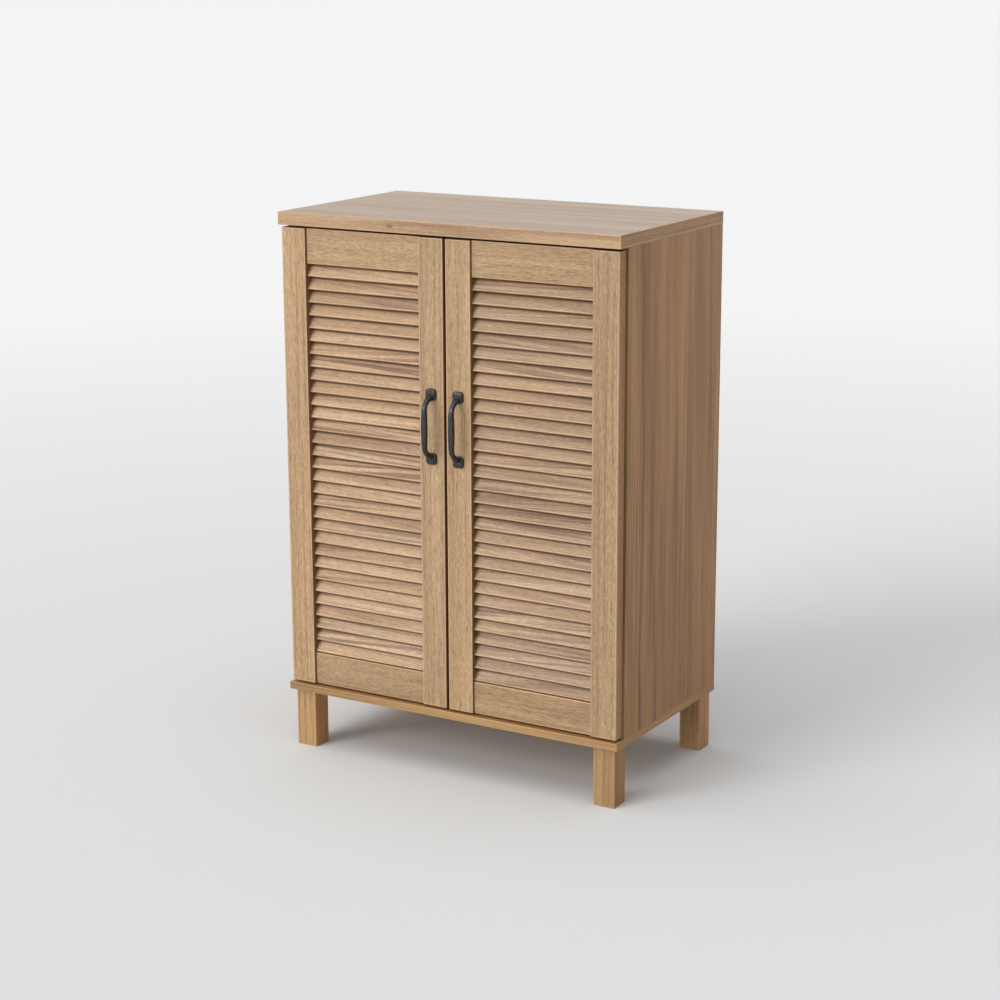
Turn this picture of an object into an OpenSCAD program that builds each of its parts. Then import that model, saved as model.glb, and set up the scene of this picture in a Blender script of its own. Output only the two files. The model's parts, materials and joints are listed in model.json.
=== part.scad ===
// Shoe cabinet with two louvred doors on four square legs.
// X points right, Y points to the back and Z up. The origin lies on the floor,
// under the middle of the box that holds the whole cabinet, handles included.

/* [Case] */
// Height from the floor to the top face
overall_h = 870; // [840:5:920]
// Width of the top and base boards
board_w = 600; // [570:5:640]
// Depth of the top and base boards
board_d = 338; // [330:2:370]
// Thickness of the top board
top_t = 20; // [18:1:25]
// Thickness of the base board
base_t = 12; // [12:1:16]
// Thickness of each side panel
side_t = 16; // [16:1:18]
// Step from the end of the boards in to the outer face of a side panel
side_inset = 0.5; // [0:0.5:2]
// Thickness of the back panel
back_t = 3; // [3:1:5]
// Distance from the rear edge in to the groove of the back panel
back_inset = 12; // [10:1:14]
// Thickness of every shelf
shelf_t = 15; // [15:1:18]

/* [Legs] */
// Height of a leg
leg_h = 95; // [80:5:110]
// Width and depth of a leg
leg_w = 36; // [34:1:40]
// Step from the edges of the base board in to a leg
leg_inset = 8; // [6:1:10]

/* [Doors] */
// Thickness of a door stile
door_t = 20; // [20:1:22]
// Step from the front edge of the boards back to the door face
door_setback = 4; // [2:1:6]
// Step from the end of the boards in to the outer edge of a door
door_side_inset = 4; // [3:1:5]
// Gap above and below a door
door_end_gap = 3.5; // [3:0.5:5]
// Gap between the two doors
door_mid_gap = 4; // [3:0.5:5]
// Gap between the back of a door and the edge of a side panel
door_back_gap = 2.5; // [2.5:0.5:4]
// Width of a stile
stile_w = 44; // [44:1:55]
// Height of the top rail
top_rail_h = 55; // [50:1:60]
// Height of the bottom rail
bottom_rail_h = 51; // [50:1:60]
// Step from the face of the stiles back to the face of the rails
rail_recess = 4; // [2:1:5]

/* [Louvres] */
// Slats in each door
slat_count = 31; // [28:1:31]
// Thickness of a slat
slat_t = 4.5; // [4:0.5:5]
// Width of a slat, measured along its slope
slat_chord = 21.5; // [20:0.5:22]
// Lean of a slat away from upright, lower edge to the front
slat_tilt = 30; // [26:1:31]
// Depth of the lower edge of a slat behind the face of the stiles
slat_nose = 5; // [5:0.5:6]

/* [Handles] */
// Length of a handle over both feet
handle_len = 118; // [110:1:130]
// Height of a handle's middle above the middle of the door
handle_rise = 80; // [40:5:120]
// Reach of the grip in front of the door
handle_reach = 25; // [22:1:28]
// Width and height of a handle foot
foot_w = 18; // [16:1:20]
// Width of the grip at its middle
grip_w = 9; // [7:0.5:11]

/* [Hinges] */
// Distance from the ends of a door to the middle of each hinge
hinge_from_end = 95; // [90:1:100]
// Angle that a door opens
door_swing = 105; // [90:1:105]

/* [Hidden] */
$fn = 48;

slip = 0.1;  // clearance round every fastener and tenon
whole_d = board_d + handle_reach - door_setback;

// Levels and planes of the case
front_y = handle_reach - door_setback - whole_d / 2;
back_y = front_y + board_d;
half_w = board_w / 2;
base_top_z = leg_h + base_t;
top_under_z = overall_h - top_t;
inner_h = top_under_z - base_top_z;
outer_x = half_w - side_inset;
inner_x = outer_x - side_t;
joint_x = inner_x + side_t / 2;

// Planes of the doors
door_front_y = front_y + door_setback;
door_back_y = door_front_y + door_t;
side_front_y = door_back_y + door_back_gap;
door_z0 = base_top_z + door_end_gap;
door_z1 = top_under_z - door_end_gap;
door_outer_x = half_w - door_side_inset;
door_inner_x = door_mid_gap / 2;
rail_front_y = door_front_y + rail_recess;
rail_mid_y = (rail_front_y + door_back_y) / 2;
louvre_z0 = door_z0 + bottom_rail_h;
louvre_z1 = door_z1 - top_rail_h;

// Back panel, held in a groove all round
groove_d = 5;
back_y1 = back_y - back_inset;
back_y0 = back_y1 - back_t;

// Shelves: four of them part the case into five equal tiers
tiers = 5;
tier_h = (inner_h - (tiers - 1) * shelf_t) / tiers;
shelf_end_gap = 1;
shelf_setback = 8;
shelf_back_y = back_y0 - 1;
fixed_index = 2;
loose_indexes = [1, 3, 4];
function shelf_z(index) = base_top_z + index * tier_h + (index - 1) * shelf_t;

// Knock-down fittings
cam_ys = [side_front_y + 50, back_y - 60];
dowel_ys = [side_front_y + 90, back_y - 100];
cam_r = 7.4;
cam_depth = 12.3;
cam_from_end = 34;
shelf_cam_from_end = 24;
bolt_r = 2.5;
bolt_bite = 9;
bolt_hole_r = 3.7;
dowel_r = 4;
dowel_bite = 8;
dowel_len = 30;

// Shelf pins and the holes they can move to
pin_ys = [side_front_y + 62, side_front_y + 240];
pin_r = 2.5;
pin_bite = 9;
pin_reach = 9;
pin_step = 25;
pin_steps = [-2, -1, 0, 1, 2];

// Leg fixings
leg_bolt_xs = [7, 20];
leg_bolt_r = 2.5;
leg_bolt_head_r = 5.5;
leg_bolt_head_h = 2.8;
nut_r = 4.2;
nut_h = 15;

// Door joinery
slat_tenon = 4.5;
slat_rise = slat_chord * cos(slat_tilt) + slat_t * sin(slat_tilt);
slat_end_gap = 0.35;
slat_pitch = (louvre_z1 - louvre_z0 - slat_rise - 2 * slat_end_gap) / (slat_count - 1);
slat_z0 = louvre_z0 + slat_end_gap + slat_t * sin(slat_tilt);
door_dowel_bite = 15;
door_dowel_spread = 13;

// Handle
handle_x = door_inner_x + stile_w / 2;
handle_z = (door_z0 + door_z1) / 2 + handle_rise;
foot_z = handle_len / 2 - foot_w / 2;
foot_t = 5;
foot_corner_r = 5;
grip_t = 7.5;
handle_screw_z = 48;
handle_screw_r = 2;

// Hinges. Places are given as [in from the outer edge of the door, forward of its back].
hinge_zs = [door_z1 - hinge_from_end, door_z0 + hinge_from_end];
swing_axis = [6.4, 9];
arm_pin = [25, 4.5];
link_knee = [13.2, 10];
cup_center = 21;
cup_r = 17.5;
cup_wall = 0.9;
cup_depth = 12.3;
cup_floor = 0.8;
cup_flange_r = 19;
cup_flange_t = 1.2;
cup_screw_z = 24;
cup_screw_in = 27;
cup_lug_t = 2.4;
link_half_z = 3.5;
link_half_t = 1.1;
arm_pin_r = 1.5;
cup_pin_r = 1;
cup_pin_from_axis = 3;
// How far the pin in the cup drifts to either side of the link's line as the door swings
pin_wander = 0.21;
cheek_z0 = 5;
cheek_t = 1.6;
arm_web = [28.9, 30.5];
arm_back = -50;
arm_shoulder = -8.5;
plate_rise = 9.5;

// The pin in the cup lies on the line that halves the swing of the arm's pin as the door
// sees it, so the link is as long at both ends of the swing and runs in a short slot.
arm_angle = atan2(arm_pin.y - swing_axis.y, arm_pin.x - swing_axis.x);
cup_pin = swing_axis
    + cup_pin_from_axis * [cos(arm_angle - door_swing / 2), sin(arm_angle - door_swing / 2)];
link_long = norm(cup_pin - arm_pin);
link_short = norm(arm_pin - swing_axis) - cup_pin_from_axis;
link_len = (link_long + link_short) / 2;
link_slot = (link_long - link_short) / 2 - pin_wander;
link_end = arm_pin + link_len / link_long * (cup_pin - arm_pin);

// ---- Building blocks ----

module block(low, high) {
    translate(low)
        cube(high - low);
}

module rod_x(at, r, length) {
    translate(at)
        rotate([0, 90, 0])
            cylinder(r = r, h = length);
}

module rod_y(at, r, length) {
    translate(at)
        rotate([-90, 0, 0])
            cylinder(r = r, h = length);
}

module rod_z(at, r, length) {
    translate(at)
        cylinder(r = r, h = length);
}

module on_left() {
    mirror([1, 0, 0])
        children();
}

module both_sides() {
    children();
    on_left()
        children();
}

// Puts children, drawn in hinge coordinates with the hinge's middle at height 0,
// on the right-hand door.
module at_hinge(z) {
    translate([door_outer_x, door_back_y, z])
        rotate([0, 0, 180])
            children();
}

// ---- Case ----

module board_fixing_holes(z, up) {
    both_sides() {
        for (y = cam_ys)
            rod_z([joint_x, y, up ? z : z - bolt_bite - slip], bolt_r + slip / 2, bolt_bite + slip);
        for (y = dowel_ys)
            rod_z([joint_x, y, up ? z : z - dowel_bite - slip], dowel_r + slip / 2,
                dowel_bite + slip);
    }
}

module back_groove() {
    block([-inner_x - groove_d, back_y0 - slip, base_top_z - groove_d],
        [inner_x + groove_d, back_y1 + slip, top_under_z + groove_d]);
}

module top_board() {
    color("tan")
        difference() {
            block([-half_w, front_y, top_under_z], [half_w, back_y, overall_h]);
            board_fixing_holes(top_under_z, true);
            back_groove();
        }
}

module base_board() {
    color("burlywood")
        difference() {
            block([-half_w, front_y, leg_h], [half_w, back_y, base_top_z]);
            board_fixing_holes(base_top_z, false);
            back_groove();
            at_leg_bolts() {
                rod_z([0, 0, leg_h - 1], leg_bolt_r + 0.5, base_t + 2);
                rod_z([0, 0, base_top_z - leg_bolt_head_h - slip], leg_bolt_head_r + 0.5, base_t);
            }
        }
}

// The right-hand panel; the left one is its mirror image
module side_panel() {
    color("peru")
        difference() {
            block([inner_x, side_front_y, base_top_z], [outer_x, back_y, top_under_z]);
            back_groove();
            for (y = cam_ys) {
                for (z = [base_top_z + cam_from_end, top_under_z - cam_from_end])
                    rod_x([inner_x - 1, y, z], cam_r + slip, cam_depth + 1 + slip);
                rod_z([joint_x, y, base_top_z - 1], bolt_hole_r, cam_from_end);
                rod_z([joint_x, y, top_under_z - cam_from_end + 1], bolt_hole_r, cam_from_end);
                rod_x([inner_x - 1, y, shelf_z(fixed_index) + shelf_t / 2],
                    bolt_r + slip / 2, bolt_bite + 1 + slip);
            }
            for (y = dowel_ys) {
                panel_dowel_len = dowel_len - dowel_bite;
                rod_z([joint_x, y, base_top_z - 1], dowel_r + slip / 2, panel_dowel_len + 1 + slip);
                rod_z([joint_x, y, top_under_z - panel_dowel_len - slip],
                    dowel_r + slip / 2, panel_dowel_len + 1 + slip);
                rod_x([inner_x - 1, y, shelf_z(fixed_index) + shelf_t / 2],
                    dowel_r + slip / 2, dowel_bite + 1 + slip);
            }
            for (index = loose_indexes, y = pin_ys, step = pin_steps)
                rod_x([inner_x - 1, y, shelf_z(index) - pin_r + step * pin_step],
                    pin_r + slip / 2, pin_bite + 1 + slip);
            for (z = hinge_zs)
                at_hinge(z)
                    for (side = [-1, 1])
                        rod_x([plate_foot - plate_screw_len, plate_screw_y, side * plate_screw_z],
                            1.75, plate_screw_len + 1);
        }
}

module back_panel() {
    color("wheat")
        block([-inner_x - groove_d + 0.5, back_y0, base_top_z - groove_d + 0.5],
            [inner_x + groove_d - 0.5, back_y1, top_under_z + groove_d - 0.5]);
}

module fixed_shelf() {
    z = shelf_z(fixed_index);
    mid_z = z + shelf_t / 2;
    color("burlywood")
        difference() {
            block([-inner_x, side_front_y, z], [inner_x, shelf_back_y, z + shelf_t]);
            both_sides() {
                for (y = cam_ys) {
                    rod_z([inner_x - shelf_cam_from_end, y, z - 1], cam_r + slip,
                        cam_depth + 1 + slip);
                    rod_x([inner_x - shelf_cam_from_end + 1, y, mid_z], bolt_hole_r,
                        shelf_cam_from_end);
                }
                for (y = dowel_ys)
                    rod_x([inner_x - dowel_len + dowel_bite - slip, y, mid_z],
                        dowel_r + slip / 2, dowel_len);
            }
        }
}

module loose_shelf(index) {
    end_x = inner_x - shelf_end_gap;
    color("burlywood")
        block([-end_x, side_front_y + shelf_setback, shelf_z(index)],
            [end_x, shelf_back_y, shelf_z(index) + shelf_t]);
}

module shelf_pins() {
    color("silver")
        both_sides()
            for (index = loose_indexes, y = pin_ys) {
                z = shelf_z(index) - pin_r;
                rod_x([inner_x - pin_reach, y, z], pin_r, pin_reach + pin_bite);
                rod_x([inner_x - 0.8, y, z], pin_r + 1, 0.8);
            }
}

// A cam, lying along X with its face at the origin and its mouth towards +Z
module cam_lock(board_t) {
    difference() {
        rod_x([0, 0, 0], cam_r, cam_depth);
        rod_z([board_t / 2, 0, -1.5], bolt_hole_r, cam_r + 2);
        block([-1, -3.5, -0.7], [1.5, 3.5, 0.7]);
        block([-1, -0.7, -3.5], [1.5, 0.7, 3.5]);
    }
}

module cam_locks() {
    color("gainsboro")
        both_sides()
            for (y = cam_ys) {
                translate([inner_x, y, top_under_z - cam_from_end])
                    cam_lock(side_t);
                translate([inner_x, y, base_top_z + cam_from_end])
                    mirror([0, 0, 1])
                        cam_lock(side_t);
                translate([inner_x - shelf_cam_from_end, y, shelf_z(fixed_index)])
                    rotate([0, -90, 0])
                        mirror([0, 0, 1])
                            cam_lock(shelf_t);
            }
}

// A cam bolt along +Z: its thread bites past the origin, its head hangs below
module cam_bolt(reach) {
    rod_z([0, 0, -reach + 3], bolt_r, reach - 3 + bolt_bite);
    rod_z([0, 0, -reach + 1.5], 1.6, 2);
    rod_z([0, 0, -reach], 3.2, 1.8);
    rod_z([0, 0, -8], 3.2, 8);
}

module cam_bolts() {
    color("darkgray")
        both_sides()
            for (y = cam_ys) {
                translate([joint_x, y, top_under_z])
                    cam_bolt(cam_from_end - 1);
                translate([joint_x, y, base_top_z])
                    mirror([0, 0, 1])
                        cam_bolt(cam_from_end - 1);
                translate([inner_x, y, shelf_z(fixed_index) + shelf_t / 2])
                    rotate([0, 90, 0])
                        cam_bolt(shelf_cam_from_end - 1);
            }
}

module case_dowels() {
    color("navajowhite")
        both_sides()
            for (y = dowel_ys) {
                rod_z([joint_x, y, base_top_z - dowel_bite], dowel_r, dowel_len);
                rod_z([joint_x, y, top_under_z + dowel_bite - dowel_len], dowel_r, dowel_len);
                rod_x([inner_x + dowel_bite - dowel_len, y, shelf_z(fixed_index) + shelf_t / 2],
                    dowel_r, dowel_len);
            }
}

// ---- Legs ----

leg_x0 = half_w - leg_inset - leg_w;
front_leg_y0 = front_y + leg_inset;
rear_leg_y0 = back_y - leg_w;
front_leg_bolt_y = front_leg_y0 + leg_w / 2;
rear_leg_bolt_y = rear_leg_y0 + 9;

module at_leg_bolts() {
    both_sides()
        for (x = leg_bolt_xs, y = [front_leg_bolt_y, rear_leg_bolt_y])
            translate([leg_x0 + x, y, 0])
                children();
}

module leg(y0) {
    color("peru")
        difference() {
            block([leg_x0, y0, 0], [leg_x0 + leg_w, y0 + leg_w, leg_h]);
            at_leg_bolts() {
                rod_z([0, 0, leg_h - nut_h - slip], nut_r + slip / 2, nut_h + 1);
                rod_z([0, 0, leg_h - nut_h - 10], leg_bolt_r + 0.3, nut_h);
            }
        }
}

module leg_bolts() {
    color("dimgray")
        at_leg_bolts() {
            rod_z([0, 0, leg_h - nut_h - 8], leg_bolt_r, nut_h + 8 + base_t - leg_bolt_head_h);
            difference() {
                rod_z([0, 0, base_top_z - leg_bolt_head_h], leg_bolt_head_r, leg_bolt_head_h - 0.2);
                rod_z([0, 0, base_top_z - 1.6], 1.8, 2);
            }
        }
}

module leg_insert_nuts() {
    color("gold")
        at_leg_bolts()
            difference() {
                rod_z([0, 0, leg_h - nut_h], nut_r, nut_h);
                rod_z([0, 0, leg_h - nut_h - 1], leg_bolt_r + slip, nut_h + 2);
            }
}

// ---- Hinges, drawn in hinge coordinates ----

plate_foot = door_outer_x - inner_x;
plate_screw_y = door_back_y - side_front_y - 37;
plate_screw_z = 16;
plate_screw_len = 12;
arm_screw_y = plate_screw_y + 2;
adjust_screw_y = arm_screw_y + 17;

module hinge_plate() {
    color("lightsteelblue")
        difference() {
            union() {
                block([plate_foot, arm_back + 2, -8], [plate_foot + 2, arm_shoulder - 3, 8]);
                block([plate_foot, plate_screw_y - 8, -23], [plate_foot + 2, plate_screw_y + 8, 23]);
                block([plate_foot, arm_back + 4, -cheek_z0 + 0.2],
                    [plate_foot + plate_rise, arm_shoulder - 4, cheek_z0 - 0.2]);
            }
            for (side = [-1, 1])
                rod_x([plate_foot - 1, plate_screw_y, side * plate_screw_z], 1.8, 4);
            rod_x([plate_foot + 3, arm_screw_y, 0], 2.2, 10);
            rod_x([plate_foot + 3, adjust_screw_y, 0], 2.2, 10);
        }
}

module hinge_plate_screws() {
    color("silver")
        both_sides()
            for (z = hinge_zs)
                at_hinge(z)
                    for (side = [-1, 1])
                        translate([plate_foot, plate_screw_y, side * plate_screw_z]) {
                            rod_x([-plate_screw_len + 1, 0, 0], 1.7, plate_screw_len + 1.1);
                            rod_x([2, 0, 0], 3.4, 1.6);
                        }
}

// A pressed channel: two cheeks that carry the link's pin, joined by a web
module hinge_arm() {
    color("lightgray")
        difference() {
            union() {
                for (z = [cheek_z0, -cheek_z0 - cheek_t]) {
                    block([plate_foot + 2.4, arm_back, z], [arm_web.y, arm_shoulder, z + cheek_t]);
                    block([arm_pin.x - 3.2, arm_shoulder - 1, z],
                        [arm_web.y, arm_pin.y, z + cheek_t]);
                    rod_z([arm_pin.x, arm_pin.y, z], 3.2, cheek_t);
                }
                block([arm_web.x, arm_back, -cheek_z0 - cheek_t],
                    [arm_web.y, arm_pin.y - 4, cheek_z0 + cheek_t]);
            }
            rod_z([arm_pin.x, arm_pin.y, -10], arm_pin_r + 0.05, 20);
            for (y = [arm_screw_y, adjust_screw_y])
                rod_x([arm_web.x - 1, y, 0], 2.4, 4);
        }
}

module hinge_arm_screws() {
    color("silver")
        both_sides()
            for (z = hinge_zs)
                at_hinge(z)
                    for (y = [arm_screw_y, adjust_screw_y]) {
                        rod_x([plate_foot + 4, y, 0], 2.1, arm_web.y - plate_foot - 3.9);
                        difference() {
                            rod_x([arm_web.y, y, 0], 3.9, 1.8);
                            block([arm_web.y + 0.7, y - 3, -0.5], [arm_web.y + 3, y + 3, 0.5]);
                            block([arm_web.y + 0.7, y - 0.5, -3], [arm_web.y + 3, y + 0.5, 3]);
                        }
                    }
}

module hinge_arm_pins() {
    color("dimgray")
        both_sides()
            for (z = hinge_zs)
                at_hinge(z)
                    rod_z([arm_pin.x, arm_pin.y, -cheek_z0 - cheek_t - 0.3], arm_pin_r,
                        2 * (cheek_z0 + cheek_t) + 0.6);
}

// One straight stretch of the bent link, seen from above
module link_bar(from, to) {
    run = to - from;
    translate(from)
        rotate(atan2(run.y, run.x))
            translate([0, -link_half_t])
                square([norm(run), 2 * link_half_t]);
}

module long_eye(r) {
    translate([-link_slot, 0])
        circle(r);
    translate([link_slot, 0])
        circle(r);
    translate([-link_slot, -r])
        square([2 * link_slot, 2 * r]);
}

module hinge_link() {
    slot_angle = atan2(link_end.y - arm_pin.y, link_end.x - arm_pin.x);
    translate([0, 0, -link_half_z])
        linear_extrude(2 * link_half_z)
            difference() {
                union() {
                    link_bar(arm_pin, link_knee);
                    link_bar(link_knee, link_end);
                    translate(link_knee)
                        circle(link_half_t);
                    translate(arm_pin)
                        circle(arm_pin_r + 1.2);
                    translate(link_end)
                        rotate(slot_angle)
                            long_eye(cup_pin_r + pin_wander + 0.65);
                }
                translate(arm_pin)
                    circle(arm_pin_r + 0.05);
                translate(link_end)
                    rotate(slot_angle)
                        long_eye(cup_pin_r + pin_wander + 0.06);
            }
}

module hinge_links() {
    color("darkgray")
        for (z = hinge_zs)
            at_hinge(z)
                hinge_link();
}

module hinge_cup() {
    color("silver")
        difference() {
            union() {
                difference() {
                    union() {
                        rod_y([cup_center, 0, 0], cup_r, cup_depth);
                        rod_y([cup_center, -cup_flange_t, 0], cup_flange_r, cup_flange_t);
                        block([cup_screw_in - 6, -cup_flange_t, -cup_screw_z],
                            [cup_screw_in + 6, 0, cup_screw_z]);
                        for (z = [-cup_screw_z, cup_screw_z])
                            rod_y([cup_screw_in, -cup_flange_t, z], 6, cup_flange_t);
                    }
                    rod_y([cup_center, -cup_flange_t - 1, 0], cup_r - cup_wall,
                        cup_flange_t + 1 + cup_depth - cup_floor);
                }
                for (z = [link_half_z + 0.8, -link_half_z - 0.8 - cup_lug_t])
                    block([cup_pin.x - 2.1, cup_pin.y - 2.1, z],
                        [cup_pin.x + 2.1, cup_depth - cup_floor / 2, z + cup_lug_t]);
            }
            for (z = [-cup_screw_z, cup_screw_z])
                rod_y([cup_screw_in, -cup_flange_t - 1, z], 1.8, cup_flange_t + 2);
            rod_z([cup_pin.x, cup_pin.y, -cup_pin_half], cup_pin_r + 0.03, 2 * cup_pin_half);
        }
}

cup_pin_half = link_half_z + 0.8 + cup_lug_t;

module cup_pins() {
    color("dimgray")
        for (z = hinge_zs)
            at_hinge(z)
                rod_z([cup_pin.x, cup_pin.y, -cup_pin_half + slip], cup_pin_r,
                    2 * cup_pin_half - 2 * slip);
}

module cup_screws() {
    color("silver")
        for (z = hinge_zs)
            at_hinge(z)
                for (side = [-cup_screw_z, cup_screw_z])
                    translate([cup_screw_in, 0, side]) {
                        rod_y([0, -cup_flange_t - 0.1, 0], 1.7, 11);
                        rod_y([0, -cup_flange_t - 1, 0], 3.2, 1);
                    }
}

// ---- Doors: the right-hand one; the left one is its mirror image ----

module slat_row(x0, x1, grow) {
    for (index = [0 : slat_count - 1])
        translate([x0, door_front_y + slat_nose, slat_z0 + index * slat_pitch])
            rotate([-slat_tilt, 0, 0])
                block([0, -grow, -grow], [x1 - x0, slat_t + grow, slat_chord + grow]);
}

module door_dowel_row(r, bite) {
    rail_zs = [door_z0 + bottom_rail_h / 2, door_z1 - top_rail_h / 2];
    for (x = [door_inner_x + stile_w, door_outer_x - stile_w])
        for (z = rail_zs, shift = [-door_dowel_spread, door_dowel_spread])
            rod_x([x - bite, rail_mid_y, z + shift], r, 2 * bite);
}

module door_hinge_stile() {
    x0 = door_outer_x - stile_w;
    color("tan")
        difference() {
            block([x0, door_front_y, door_z0], [door_outer_x, door_back_y, door_z1]);
            slat_row(x0 - 1, x0 + slat_tenon + slip, slip);
            door_dowel_row(dowel_r + slip / 2, door_dowel_bite + slip);
            for (z = hinge_zs)
                at_hinge(z) {
                    rod_y([cup_center, -1, 0], cup_r + slip, cup_depth + 1 + slip);
                    for (side = [-cup_screw_z, cup_screw_z])
                        rod_y([cup_screw_in, -1, side], 1.75, 11);
                }
        }
}

module door_meeting_stile() {
    x1 = door_inner_x + stile_w;
    color("tan")
        difference() {
            block([door_inner_x, door_front_y, door_z0], [x1, door_back_y, door_z1]);
            slat_row(x1 - slat_tenon - slip, x1 + 1, slip);
            door_dowel_row(dowel_r + slip / 2, door_dowel_bite + slip);
            for (side = [-handle_screw_z, handle_screw_z])
                rod_y([handle_x, door_front_y - 1, handle_z + side], handle_screw_r + 0.25,
                    door_t + 2);
        }
}

module door_rail(z0, z1) {
    color("burlywood")
        difference() {
            block([door_inner_x + stile_w, rail_front_y, z0],
                [door_outer_x - stile_w, door_back_y, z1]);
            door_dowel_row(dowel_r + slip / 2, door_dowel_bite + slip);
        }
}

module door_slats() {
    color("navajowhite")
        slat_row(door_inner_x + stile_w - slat_tenon, door_outer_x - stile_w + slat_tenon, 0);
}

module door_dowels() {
    color("navajowhite")
        door_dowel_row(dowel_r, door_dowel_bite);
}

// Side outline of the grip for its upper half, as [reach from the door, height]
grip_half = [
    [foot_t - 1, foot_z - 9.5], [9.5, foot_z - 11.5], [14, foot_z - 16], [17, foot_z - 21],
    [handle_reach - grip_t, foot_z - 27], [handle_reach, foot_z - 22],
    [handle_reach - 1, foot_z - 17], [20, foot_z - 11], [13, foot_z - 5.5],
    [8, foot_z - 3], [foot_t - 1, foot_z - 2.5]
];

module grip_side() {
    lower = [for (index = [len(grip_half) - 1 : -1 : 0]) [grip_half[index].x, -grip_half[index].y]];
    top_run = [for (index = [0 : 4]) grip_half[index]];
    front_run = [for (index = [5 : len(grip_half) - 1]) grip_half[index]];
    low_run = [for (index = [0 : 5]) lower[index]];
    low_back = [for (index = [6 : len(lower) - 1]) lower[index]];
    polygon(concat(top_run, low_back, low_run, front_run));
}

module grip_front() {
    waist = grip_w / 2 - 1.5;
    end = foot_z;
    polygon([
        [-waist, -end], [waist, -end], [waist, -end + 14], [grip_w / 2 - 0.4, -18],
        [grip_w / 2, 0], [grip_w / 2 - 0.4, 18], [waist, end - 14], [waist, end],
        [-waist, end], [-waist, end - 14], [-grip_w / 2 + 0.4, 18], [-grip_w / 2, 0],
        [-grip_w / 2 + 0.4, -18], [-waist, -end + 14]
    ]);
}

module handle_foot() {
    corner = foot_w / 2 - foot_corner_r;
    hull()
        for (x = [-corner, corner], z = [-corner, corner])
            rod_y([x, 0, z], foot_corner_r, foot_t, $fn = 32);
}

// Cast pull: two square feet joined by a bowed grip
module handle() {
    color("darkslategray")
        translate([handle_x, door_front_y, handle_z])
            mirror([0, 1, 0])
                difference() {
                    union() {
                        for (side = [-foot_z, foot_z])
                            translate([0, 0, side])
                                handle_foot();
                        intersection() {
                            rotate([90, 0, 90])
                                linear_extrude(foot_w, center = true)
                                    grip_side();
                            translate([0, handle_reach + 1, 0])
                                rotate([90, 0, 0])
                                    linear_extrude(handle_reach + 2)
                                        grip_front();
                        }
                    }
                    for (side = [-handle_screw_z, handle_screw_z])
                        rod_y([0, -1, side], handle_screw_r + 0.05, foot_t);
                }
}

module handle_screws() {
    color("silver")
        for (side = [-handle_screw_z, handle_screw_z])
            translate([handle_x, door_back_y, handle_z + side]) {
                rod_y([0, -door_t - 3.5, 0], handle_screw_r, door_t + 3.6);
                difference() {
                    rod_y([0, 0, 0], 4, 1.9);
                    block([-2.5, 1, -0.5], [2.5, 3, 0.5]);
                    block([-0.5, 1, -2.5], [0.5, 3, 2.5]);
                }
            }
}

module door_bumper() {
    color("whitesmoke")
        rod_y([door_inner_x + 12, door_back_y, shelf_z(fixed_index) + shelf_t / 2], 4, 2);
}

// ---- Nodes ----

top_board();
base_board();
on_left() side_panel();  // left_side_panel
side_panel();  // right_side_panel
back_panel();
fixed_shelf();
loose_shelf(loose_indexes[0]);  // lower_shelf
loose_shelf(loose_indexes[1]);  // middle_shelf
loose_shelf(loose_indexes[2]);  // upper_shelf
on_left() leg(front_leg_y0);  // front_left_leg
leg(front_leg_y0);  // front_right_leg
on_left() leg(rear_leg_y0);  // rear_left_leg
leg(rear_leg_y0);  // rear_right_leg
leg_bolts();
leg_insert_nuts();
shelf_pins();
cam_locks();
cam_bolts();
case_dowels();
on_left() at_hinge(hinge_zs[0]) hinge_plate();  // upper_left_hinge_plate
on_left() at_hinge(hinge_zs[1]) hinge_plate();  // lower_left_hinge_plate
at_hinge(hinge_zs[0]) hinge_plate();  // upper_right_hinge_plate
at_hinge(hinge_zs[1]) hinge_plate();  // lower_right_hinge_plate
on_left() at_hinge(hinge_zs[0]) hinge_arm();  // upper_left_hinge_arm
on_left() at_hinge(hinge_zs[1]) hinge_arm();  // lower_left_hinge_arm
at_hinge(hinge_zs[0]) hinge_arm();  // upper_right_hinge_arm
at_hinge(hinge_zs[1]) hinge_arm();  // lower_right_hinge_arm
hinge_plate_screws();
hinge_arm_screws();
hinge_arm_pins();
on_left() hinge_links();  // left_hinge_links
hinge_links();  // right_hinge_links
on_left() door_hinge_stile();  // left_door_hinge_stile
on_left() door_meeting_stile();  // left_door_meeting_stile
on_left() door_rail(louvre_z1, door_z1);  // left_door_top_rail
on_left() door_rail(door_z0, louvre_z0);  // left_door_bottom_rail
on_left() door_slats();  // left_door_slats
on_left() door_dowels();  // left_door_dowels
on_left() handle();  // left_handle
on_left() handle_screws();  // left_handle_screws
on_left() at_hinge(hinge_zs[0]) hinge_cup();  // upper_left_hinge_cup
on_left() at_hinge(hinge_zs[1]) hinge_cup();  // lower_left_hinge_cup
on_left() cup_screws();  // left_cup_screws
on_left() cup_pins();  // left_cup_pins
on_left() door_bumper();  // left_door_bumper
door_hinge_stile();  // right_door_hinge_stile
door_meeting_stile();  // right_door_meeting_stile
door_rail(louvre_z1, door_z1);  // right_door_top_rail
door_rail(door_z0, louvre_z0);  // right_door_bottom_rail
door_slats();  // right_door_slats
door_dowels();  // right_door_dowels
handle();  // right_handle
handle_screws();  // right_handle_screws
at_hinge(hinge_zs[0]) hinge_cup();  // upper_right_hinge_cup
at_hinge(hinge_zs[1]) hinge_cup();  // lower_right_hinge_cup
cup_screws();  // right_cup_screws
cup_pins();  // right_cup_pins
door_bumper();  // right_door_bumper
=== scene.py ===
import bpy
import bmesh
import json
import math
import random
from mathutils import Euler, Matrix, Vector, noise


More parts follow.
